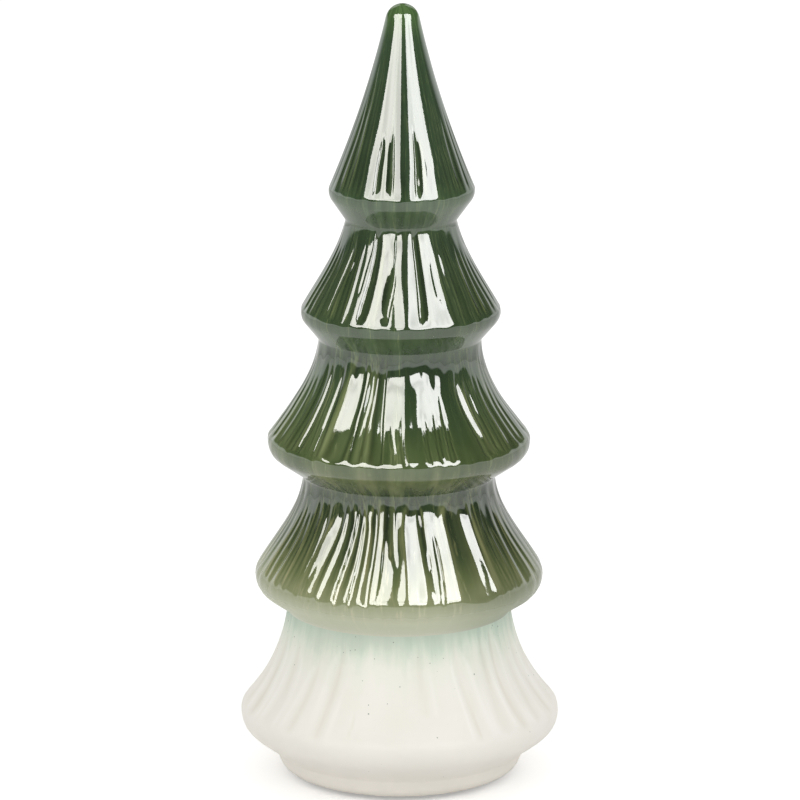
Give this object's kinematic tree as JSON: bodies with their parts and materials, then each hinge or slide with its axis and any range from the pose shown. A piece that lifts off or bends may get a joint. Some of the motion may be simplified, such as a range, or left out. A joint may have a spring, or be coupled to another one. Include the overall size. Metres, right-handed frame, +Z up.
{
  "type": "ceramic christmas tree",
  "caption": "Table ornament shaped as a stacked fir tree with draped folds, glossy green glaze fading to a matt white skirt and foot, on felt pads.",
  "frame": {"origin": "centre of the plane that the tree stands on, on the tree's axis", "axes": "+Z up along the axis to the tip, -Y towards the front that the picture shows, +X to the right of it"},
  "size_m": [0.125, 0.1247, 0.3033],
  "materials": {
    "glazed_casting": "glossy reactive green glaze on the upper tiers, fading to matt off-white on the skirt and foot",
    "pad_felt": "pressed wool felt, fuzzy and matt"
  },
  "bodies": {
    "root": {"tree_body": "glazed_casting", "felt_pad_front_left": "pad_felt", "felt_pad_front_right": "pad_felt", "felt_pad_back_right": "pad_felt", "felt_pad_back_left": "pad_felt"}
  },
  "joints": []
}
